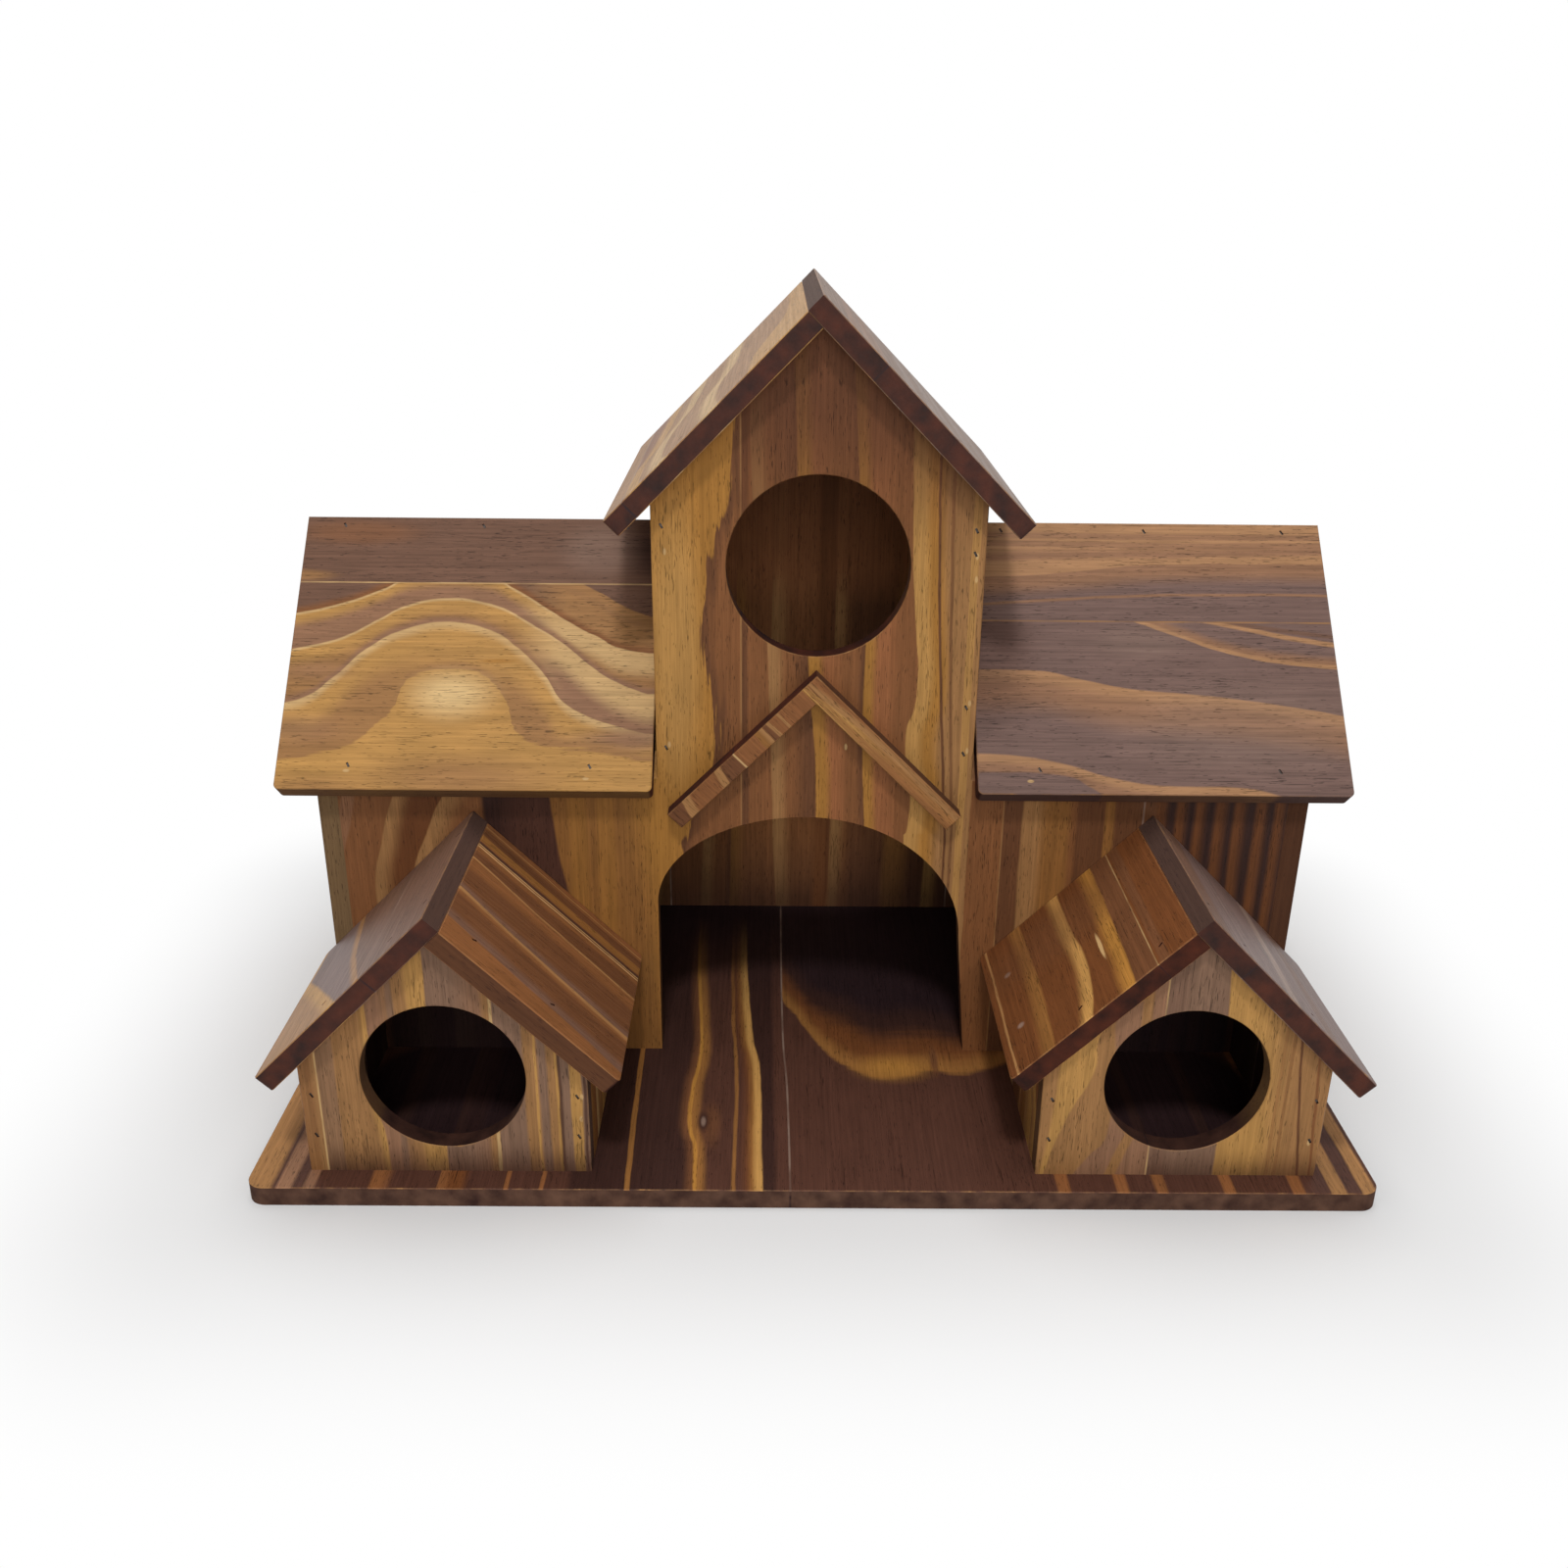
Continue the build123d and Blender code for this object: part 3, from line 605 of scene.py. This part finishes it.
def left_hut_wall(f):
    """Upright figure: u is z, and v is x from the hut's middle."""
    full = (0, 130)
    f.ground("tan")
    f.stripes(full, "brown", 0.6, -59, -56, soft=1.5, amount=0.5)
    f.stave(-52.3, "tan", "straw", 0.2)
    f.stripes(full, "taupe", 3.2, -48.5, soft=1.2, amount=0.6)
    f.line([(8, -25.3), (25, -26), (50, -29), (80, -29.5), (130, -30)], (-4, -0.6, "honey"),
           (-0.5, 0.5, "hazel"), (4, 14, "tan"))
    f.stripes(full, "taupe", 0.5, -19, soft=1.6, amount=0.8)
    f.line([(8, -10), (130, -13)], (-1.5, 2, "honey"))
    f.line([(8, -0.6), (30, -0.6), (90, -4.2), (105, -4), (130, -5)],
           (-0.4, 0.4, "taupe"), (8, 22, "hazel"))
    f.line([(0, 17.5), (130, 17.5)], (-1, 2, "tan"))
    f.stripes(full, "straw", 0.4, 21.6, soft=0.6)
    f.line([(0, 22.4), (130, 22.4)], (-0.3, 0.3, "taupe"))
    f.stripes(full, "tan", 2.2, 37, soft=1.5)
    f.stripes(full, "honey", 0.2, 39, soft=0.5)
    f.stripes(full, "tan", 1.6, 46, soft=1.5)
    f.stripes(full, "honey", 0.4, 47.5, soft=0.5)
    f.stripes(full, "honey", 1.8, 55, soft=1.0)
    f.stripes(full, "dusk", 0.3, 48.6, 58.6, soft=0.7, amount=0.8)
    # Painted shade: darker towards the foot of the wall
    f.fade(26, 7, "dusk", 0.75)
    f.chips((47, 57), (36, 56.5), (27, -54))


def right_hut_wall(f):
    """Upright figure, with the same directions as on the left hut."""
    full = (0, 130)
    f.ground("tan")
    f.line([(8, -59), (30, -56), (60, -54), (130, -50)], (-1, 1, "honey"))
    f.line([(8, -57), (30, -51.5), (45, -46), (55, -41), (65, -38.6), (75, -39), (90, -34)],
           (-0.6, 0.6, "tan"))
    f.line([(8, -44), (20, -37), (30, -31), (50, -30), (90, -33), (130, -34)], (-0.8, 0.8, "hazel"))
    f.stripe([(8, -28), (20, -24.5), (33, -20)], 1.6, "tan", 1.4)
    f.stave(-12.6, "taupe", "straw", 0.15)
    f.stripes(full, "plum", 1, -8, soft=5, amount=0.5)
    f.line([(8, 16), (25, 16), (60, 15), (90, 12.6), (130, 11)], (-0.5, 0.5, "honey"), (12, 32, "tan"))
    f.stripe([(8, 52.5), (80, 45)], 0.25, "umber", 0.6)
    f.stripe([(8, 57.5), (70, 54)], 0.2, "brown", 0.8)
    f.spot(25, 30, 25, 8, "honey", 0.7)
    f.stripes(full, "brown", 0.3, 39, 42.5, soft=0.8, amount=0.4)
    # Painted shade: darker towards the foot of the wall
    f.fade(24, 7, "dusk", 0.6)
    f.chips((50.5, -53), (26, 55))


def left_hut_inner_roof(f):
    """The one plate whose grain runs down the slope: u runs down from the ridge, and v is y."""
    f.ground("brown")
    f.line([(10, -121), (50, -125), (80, -128), (104, -131)], (-0.6, 0.6, "plum"), (2, 8, "umber"))
    f.line([(10, -101), (50, -106), (104, -110)], (-2, 2, "brown"), (2, 4, "tan"))
    f.line([(10, -95.5), (40, -100), (104, -104.5)], (-0.5, 0.5, "plum"), (1, 6, "umber"))
    f.line([(10, -78), (50, -79), (104, -82)], (-3, 2, "brown"))
    f.line([(10, -67.6), (50, -70.6), (104, -72.6)], (-1.6, -1, "tan"), (-0.3, 0.4, "umber"))
    f.line([(10, -62), (104, -61)], (-1, 1, "brown"))
    f.stripes((0, 110), "straw", 0.2, -57, -55, soft=0.5, amount=0.8)
    f.stripes((0, 110), "dusk", 0.8, -53.6, soft=0.6)
    f.stripes((0, 110), "ochre", 2.2, -48.8, soft=1.0)
    f.stripes((0, 110), "umber", 2.6, -42.8, soft=0.8)
    f.stripes((0, 110), "tan", 0.3, -37.6, soft=0.4)


def right_hut_inner_roof(f):
    """Grain along the eaves: u is y and v runs down from the ridge, as on all the plates that follow."""
    f.ground("rust")
    f.stripes((-140, -30), "umber", 1.6, 24.5, soft=1.5)
    f.stave(28.3, "umber", "straw", 0.1)
    f.line([(-140, 40.3), (-120, 38.5), (-95, 37.8), (-34, 37.5)], (-0.4, 0.8, "gold"), (3, 10, "rust"))
    f.spot(-94.5, 47.2, 13, 1.2, "straw", 1.0, core=0.5)
    f.line([(-140, 64.5), (-125, 59.6), (-110, 57), (-92, 55.4), (-70, 57), (-34, 57.5)],
           (-0.5, 0.8, "honey"), (3, 9, "rust"))
    f.line([(-140, 82.2), (-110, 80.5), (-92, 80), (-34, 81)], (-0.8, 0.8, "ochre"), (3, 9, "rust"))
    f.stripes((-140, -30), "tan", 0.3, 101.6, soft=0.6)
    f.spot(-105, 94, 2.4, 2.6, "ash", 0.8)
    f.spot(-63.5, 94, 2.4, 2.4, "ash", 0.8)
    # Painted shade where the plate meets the house, under the wing's eave
    f.spot(-60, 60, 30, 60, "umber", 0.5)


def left_hut_outer_roof(f):
    """Broad slanting bands, palest at the eaves' front corner."""
    f.ground("plum")
    f.stave(38.0, "plum")
    f.line([(-140, 38), (-125, 45), (-83, 62), (-41, 75), (-30, 78)], (-1.5, 0, "tan"), (1, 5, "mauve"))
    f.line([(-140, 52), (-122, 64), (-98, 80), (-63, 104)], (-2, 0.5, "honey"), (3, 10, "tan"))


def right_hut_outer_roof(f):
    """A plain plate, with one seam and soft bands."""
    f.ground("plum")
    f.line([(-140, 12), (-30, 16)], (-2, 2, "mauve"))
    f.stave(28.3, "mauve")
    f.stripe([(-140, 52), (-80, 60), (-30, 64)], 2, "ash", 3)
    f.stripe([(-140, 78), (-80, 84), (-30, 86)], 3, "plum", 3)


def tower_left_roof(f):
    """A few wide pale rings that bend along the plate."""
    f.ground("honey")
    f.line([(-46, 42), (0, 40), (20, 30), (50, 20), (142, 18)], (-1, 1, "tan"))
    f.line([(-46, 58), (20, 62), (60, 52), (142, 50)], (-1, 2, "straw"), (6, 14, "tan"))
    f.line([(-46, 84), (0, 94), (40, 88), (60, 80), (142, 76)], (-1, 1, "straw"), (5, 12, "tan"))
    f.line([(-46, 100), (0, 108), (40, 100), (142, 94)], (-1, 1, "honey"), (5, 12, "brown"))
    f.stave(115.5, "tan")


def tower_right_roof(f):
    """Many narrow rings, nearly straight; their greyish tones are partly painted sheen."""
    f.ground("taupe")
    for place in (14, 24, 31):
        f.line([(-46, place), (60, place + 3), (142, place + 5)], (-0.6, 0.6, "hazel"), (3, 9, "taupe"))
    f.stave(37.0, "taupe")
    for place in (48, 62, 71, 84, 98, 113):
        f.line([(-46, place), (60, place + 4), (142, place + 8)], (-0.6, 0.6, "ash"), (3, 10, "taupe"))


def left_porch_strip(f):
    """Cut across the grain: v runs from the foot, at -96, to the peak."""
    f.ground("umber")
    f.line([(-9, -86.5), (0, -84)], (-0.4, 0.4, "tan"), (4, 5.5, "brown"))
    f.line([(-9, -66.5), (0, -63.5)], (-0.4, 0.4, "tan"), (3.5, 4.2, "umber"))
    f.stave(-51.5, "brown", "straw", 0.25)
    f.line([(-9, -38.5), (0, -38)], (-0.5, 0.5, "ochre"), (2, 4, "tan"), (4.6, 5.2, "umber"))
    f.line([(-9, -30.6), (0, -31)], (-0.4, 0.4, "tan"), (1.2, 2, "brown"))
    f.stripes((-10, 0), "tan", 0.3, -24.5, soft=0.5)
    f.line([(-9, -22), (0, -22)], (0, 2, "brown"))
    f.line([(-9, -8.5), (0, -9.5)], (-0.5, 0.5, "honey"), (2.5, 4.5, "brown"))


def right_porch_strip(f):
    """Cut along the grain: u runs down from the peak."""
    f.ground("honey")
    f.fade(8, 60, "brown", 0.75)
    f.line([(0, -7.5), (20, -5), (40, -3.5), (96, -3)], (-0.6, 0.6, "tan"), (1.5, 4, "brown"))
    f.stripes((0, 100), "brown", 0.3, -8, -6.5, soft=0.6, amount=0.6)


def back_wall(f):
    """Upright figure, drawn line by line where the doorway and the tower's hole show it."""

    def staves(*places):
        for place in places:
            f.stave(place, "brown")
            for step, tone in ((6, "tan"), (17, "umber"), (29, "ochre"), (44, "brown"), (56, "tan")):
                f.line([(0, place + step), (150, place + step + 5), (350, place + step)],
                       (-1, 1, "honey"), (2, 9, tone))

    f.ground("brown")
    staves(-240, -172, -122)
    f.stave(-78, "brown")
    f.line([(0, -62), (150, -58), (350, -63)], (-1, 1, "tan"), (3, 9, "brown"))
    f.line([(0, -44), (150, -40), (350, -36)],
           (-4, -0.5, "umber"), (-0.5, 0.5, "ochre"), (2, 9, "brown"))
    f.line([(0, -16), (150, -20), (350, -14)], (-0.6, 0.6, "tan"), (3, 11, "brown"))
    f.line([(0, 10), (150, 14), (350, 12)], (-4, -0.5, "umber"), (-0.5, 0.5, "tan"), (3, 10, "brown"))
    f.line([(0, 24), (150, 22), (350, 20)], (-4, 4, "umber"))
    f.line([(0, 44), (350, 50)], (-2, 3, "ochre"), (9, 17, "umber"))
    f.line([(0, 66), (150, 69), (350, 67)], (-1, 1, "honey"), (3, 10, "umber"))
    staves(82, 150)
    f.all_staves()
    nodes = f.nodes
    # On the room side: painted shade darkens the foot, painted light brightens the height seen through the
    # tower's hole, and an upright band near the middle is darker
    room_side = nodes.steps(f.w, back_inner + 3, back_inner + 5, 1.0, 0.0)
    f.paint(nodes.times(room_side, nodes.steps(f.u, 60, 15)), "char", 0.7)
    f.paint(nodes.times(room_side, nodes.steps(f.u, 190, 212)), "cedar", 0.9)
    f.paint(nodes.times(room_side, nodes.near(f.distance([(0, 9), (350, 9)]), 3, 6)), "rust", 0.6)


def plain_board(low, high, along, seed):
    """A board of staves with growth rings at random, for the sides that the photograph hides."""

    def paint(figure):
        rng = random.Random(seed)
        figure.ground(rng.choice(RING_TONES)[1])
        figure.rings(rng, low, low + 40, along)
        place = low + rng.uniform(40, 70)
        while place < high:
            width = rng.uniform(48, 85)
            figure.stave(place, rng.choice(RING_TONES)[1])
            figure.rings(rng, place + rng.uniform(2, 8), min(place + width, high), along)
            place += width

    return paint


# Upright side boards, each with the side in w that faces a room and gets painted shade, or 0 for neither
SHADED_SIDES = {
    "left_end_wall": -1,
    "right_end_wall": 1,
    "left_tower_side": 0,
    "right_tower_side": 1,
    "left_hut_outer_side": -1,
    "left_hut_inner_side": 1,
    "right_hut_inner_side": -1,
    "right_hut_outer_side": 1,
}

# Boards drawn after the photograph: their figure's start, its two directions, its painter, and options
# Huts: deep painted shade on the faces inside their rooms, and end grain burnt from coal to dusk
hut_options = {"inside": 1, "soot_and_shade": 0.9, "burnt": ("coal", "dusk")}
DRAWN = {
    "left_wing_front_roof": (wing_ridge, X, wing_falls_forward, left_wing_front, {}),
    "right_wing_front_roof": (wing_ridge, X, wing_falls_forward, right_wing_front, {}),
    "front_wall": (origin, Z, X, front_wall, {"inside": 1}),
    "back_wall": (origin, Z, X, back_wall, {"gain": 1.2}),
    "base_board": (origin, Y, X, base, {"gain": 1.4, "burnt": ("char", "plum")}),
    "left_hut_front": (hut_middle("left"), Z, X, left_hut_wall, hut_options),
    "right_hut_front": (hut_middle("right"), Z, X, right_hut_wall, hut_options),
    "left_hut_inner_roof": (hut_ridge("left"), falls_right, Y, left_hut_inner_roof, {"gain": 1.3}),
    "left_hut_outer_roof": (hut_ridge("left"), Y, falls_left, left_hut_outer_roof,
                            {"gain": 1.1, "gloss": 0.3}),
    "right_hut_inner_roof": (hut_ridge("right"), Y, falls_left, right_hut_inner_roof, {"gain": 1.4}),
    "right_hut_outer_roof": (hut_ridge("right"), Y, falls_right, right_hut_outer_roof, {"gloss": 0.3}),
    "left_tower_roof": (tower_ridge, Y, falls_left, tower_left_roof, {"gloss": 0.4}),
    "right_tower_roof": (tower_ridge, Y, falls_right, tower_right_roof, {"gloss": 0.4, "gain": 0.8}),
    "left_porch_strip": (porch_peak, -falls_right, -falls_left, left_porch_strip, {"gain": 1.15}),
    "right_porch_strip": (porch_peak, falls_right, -falls_left, right_porch_strip, {"gain": 1.15}),
}


def hidden_board(node, seed):
    """Material of a board that the photograph hides or hardly shows."""
    low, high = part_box(node)
    if node in SHADED_SIDES:
        figure = plain_board(low.y / MM, high.y / MM, (0, high.z / MM), seed)
        # Painted shade on the side facing a room, deeper in the huts
        soot_and_shade = 0.9 if "hut" in node else 0.5
        return wood(node, origin, Z, Y, figure, seed, inside=SHADED_SIDES[node], soot_and_shade=soot_and_shade)
    slope_length = 140   # in mm, from the ridge to just past the eaves
    figure = plain_board(0, slope_length, (low.x / MM, high.x / MM), seed)
    return wood(node, wing_ridge, X, wing_falls_back, figure, seed)


def steel():
    """Wire of the brads, dulled by scorching and varnish."""
    nodes = Nodes("brad_wire")
    coords = nodes.new("ShaderNodeTexCoord")
    place = nodes.vector(*(nodes.dot(coords.outputs["Object"], axis / MM) for axis in (X, Y, Z)))
    grime = nodes.noise(place, 3.0, 0.6)
    shader = nodes.new("ShaderNodeBsdfPrincipled")
    soot_and_shade, metal = (0.02, 0.015, 0.012, 1), (0.12, 0.1, 0.09, 1)
    nodes.feed(shader.inputs["Base Color"], nodes.mix(nodes.steps(grime, 0.3, 0.7), soot_and_shade, metal))
    shader.inputs["Metallic"].default_value = 0.8
    nodes.feed(shader.inputs["Roughness"], nodes.steps(grime, 0.3, 0.7, 0.65, 0.4))
    return nodes.finish(shader)


def dress(node, material):
    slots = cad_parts[node].data.materials
    slots.clear()
    slots.append(material)


# Materials: a board's seed comes from its place in the list, so that no two figures are alike
wire = steel()
for index, node in enumerate(sorted(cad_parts)):
    if node.endswith("brads"):
        dress(node, wire)
    elif node in DRAWN:
        start, along, across, paint, options = DRAWN[node]
        dress(node, wood(node, start, along, across, paint, 3.1 * index + 5, **options))
    else:
        dress(node, hidden_board(node, index + 3))


def add(name, data):
    """A new object in the scene's own collection."""
    thing = bpy.data.objects.new(name, data)
    bpy.context.scene.collection.objects.link(thing)
    return thing


def add_camera():
    """Camera at the place that the photograph was taken from, fitted to the corners of the boards."""
    place = Vector((-17.6, -633.5, 401.5)) * MM
    down, yaw, roll = math.radians(22.74), math.radians(0.37), math.radians(0.57)
    picture_pixels, focal_pixels = 1600, 1470.6
    data = bpy.data.cameras.new("camera")
    data.sensor_width = 36.0
    data.lens = data.sensor_width * focal_pixels / picture_pixels
    forward = Vector((math.sin(yaw) * math.cos(down), math.cos(yaw) * math.cos(down), -math.sin(down)))
    right = forward.cross(Z).normalized()
    up = right.cross(forward)
    rolled_right = math.cos(roll) * right + math.sin(roll) * up
    rolled_up = math.cos(roll) * up - math.sin(roll) * right
    turn = Matrix((rolled_right, rolled_up, -forward)).transposed()
    camera = add("camera", data)
    camera.matrix_world = Matrix.Translation(place) @ turn.to_4x4()
    bpy.context.scene.camera = camera


def add_floor():
    """A pale floor that keeps the shadow near the object and is white far from it."""
    half, shadow_reach = 12.0, 0.15
    mesh = bpy.data.meshes.new("ground")
    corners = [(-half, -half, 0), (half, -half, 0), (half, half, 0), (-half, half, 0)]
    mesh.from_pydata(corners, [], [(0, 1, 2, 3)])
    nodes = Nodes("ground")
    coords = nodes.new("ShaderNodeTexCoord")
    beside = []
    for axis in (X, Y):
        out = nodes.math("ABSOLUTE", nodes.dot(coords.outputs["Object"], axis))
        edge = abs(cad_high.dot(axis))
        beside.append(nodes.math("MAXIMUM", nodes.math("SUBTRACT", out, edge), 0))
    distance = nodes.new("ShaderNodeVectorMath", operation="LENGTH")
    nodes.feed(distance.inputs[0], nodes.vector(*beside))
    rays = nodes.new("ShaderNodeLightPath")
    seen = nodes.math("MAXIMUM", rays.outputs["Is Camera Ray"], rays.outputs["Is Glossy Ray"])
    far = nodes.steps(distance.outputs["Value"], 0.0, shadow_reach, smooth=True)
    diffuse = nodes.new("ShaderNodeBsdfDiffuse")
    diffuse.inputs["Color"].default_value = (0.85, 0.85, 0.85, 1)
    white = nodes.new("ShaderNodeEmission")
    blend = nodes.new("ShaderNodeMixShader")
    for socket, value in zip(blend.inputs, (nodes.times(seen, far), diffuse.outputs[0], white.outputs[0])):
        nodes.feed(socket, value)
    mesh.materials.append(nodes.finish(blend))
    floor = add("ground", mesh)


def add_lamp(name, place, size, power):
    """A round lamp that looks at the middle of the birdhouse."""
    data = bpy.data.lights.new(name, "AREA")
    data.shape = "DISK"
    data.size = size
    data.energy = power
    light = add(name, data)
    light.location = place
    target = Vector((0, 0, 0.15))
    light.rotation_euler = (target - light.location).to_track_quat("-Z", "Y").to_euler()


def add_world():
    """Even light, weaker than the white that the camera and the varnish see."""
    world = bpy.data.worlds.new("studio")
    world.use_nodes = True
    bpy.context.scene.world = world
    tree = world.node_tree
    tree.nodes.clear()
    rays = tree.nodes.new("ShaderNodeLightPath")
    seen = tree.nodes.new("ShaderNodeMath")
    seen.operation = "MAXIMUM"
    strength = tree.nodes.new("ShaderNodeMapRange")
    strength.inputs["To Min"].default_value = 0.3
    strength.inputs["To Max"].default_value = 1.0
    background = tree.nodes.new("ShaderNodeBackground")
    background.inputs["Color"].default_value = (1, 1, 1, 1)
    output = tree.nodes.new("ShaderNodeOutputWorld")
    tree.links.new(rays.outputs["Is Camera Ray"], seen.inputs[0])
    tree.links.new(rays.outputs["Is Glossy Ray"], seen.inputs[1])
    tree.links.new(seen.outputs[0], strength.inputs["Value"])
    tree.links.new(strength.outputs[0], background.inputs["Strength"])
    tree.links.new(background.outputs[0], output.inputs["Surface"])


add_camera()
add_floor()
add_lamp("key", (-0.05, -1.25, 1.95), 0.26, 18)
add_lamp("front", (0.1, -2.1, 0.95), 1.2, 11)
add_lamp("top", (0.0, 0.3, 2.2), 1.8, 15)
add_world()
bpy.context.scene.view_settings.view_transform = "Standard"
